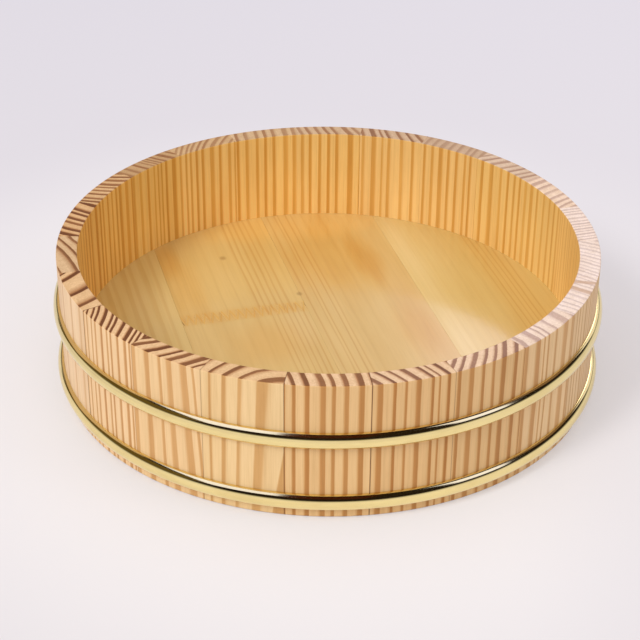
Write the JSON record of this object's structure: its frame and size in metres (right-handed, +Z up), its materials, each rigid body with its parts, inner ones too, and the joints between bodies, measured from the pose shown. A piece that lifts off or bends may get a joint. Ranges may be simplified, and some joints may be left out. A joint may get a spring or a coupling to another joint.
{
  "type": "sushi rice tub",
  "caption": "Low round coopered wooden tub with a board bottom and two half-oval metal hoops, for cooling and mixing cooked rice.",
  "frame": {"origin": "centre of the tub at the level of its foot, the surface that it stands on", "axes": "+Z up along the tub's axis; -Y is the side that faces the picture's camera, +X is to its right"},
  "size_m": [0.3078, 0.3078, 0.0785],
  "materials": {
    "stave_wood": "planed softwood with strong growth rings, unfinished, satin",
    "board_wood": "planed softwood with fine straight grain, thin clear coat",
    "bamboo": "whittled bamboo, matte",
    "brass": "polished half-oval bar"
  },
  "bodies": {
    "root": {"stave_01": "stave_wood", "stave_02": "stave_wood", "stave_03": "stave_wood", "stave_04": "stave_wood", "stave_05": "stave_wood", "stave_06": "stave_wood", "stave_07": "stave_wood", "stave_08": "stave_wood", "stave_09": "stave_wood", "stave_10": "stave_wood", "stave_11": "stave_wood", "stave_12": "stave_wood", "stave_13": "stave_wood", "stave_14": "stave_wood", "stave_15": "stave_wood", "stave_16": "stave_wood", "stave_17": "stave_wood", "stave_18": "stave_wood", "stave_19": "stave_wood", "stave_20": "stave_wood", "stave_21": "stave_wood", "stave_22": "stave_wood", "stave_peg_01": "bamboo", "stave_peg_02": "bamboo", "stave_peg_03": "bamboo", "stave_peg_04": "bamboo", "stave_peg_05": "bamboo", "stave_peg_06": "bamboo", "stave_peg_07": "bamboo", "stave_peg_08": "bamboo", "stave_peg_09": "bamboo", "stave_peg_10": "bamboo", "stave_peg_11": "bamboo", "stave_peg_12": "bamboo", "stave_peg_13": "bamboo", "stave_peg_14": "bamboo", "stave_peg_15": "bamboo", "stave_peg_16": "bamboo", "stave_peg_17": "bamboo", "stave_peg_18": "bamboo", "stave_peg_19": "bamboo", "stave_peg_20": "bamboo", "stave_peg_21": "bamboo", "stave_peg_22": "bamboo", "bottom_board_1": "board_wood", "bottom_board_2_far": "board_wood", "bottom_board_2_near": "board_wood", "bottom_board_3": "board_wood", "bottom_board_4": "board_wood", "board_peg_1a": "bamboo", "board_peg_1b": "bamboo", "board_peg_2a": "bamboo", "board_peg_2b": "bamboo", "board_peg_3a": "bamboo", "board_peg_3b": "bamboo", "upper_hoop": "brass", "lower_hoop": "brass"}
  },
  "joints": []
}
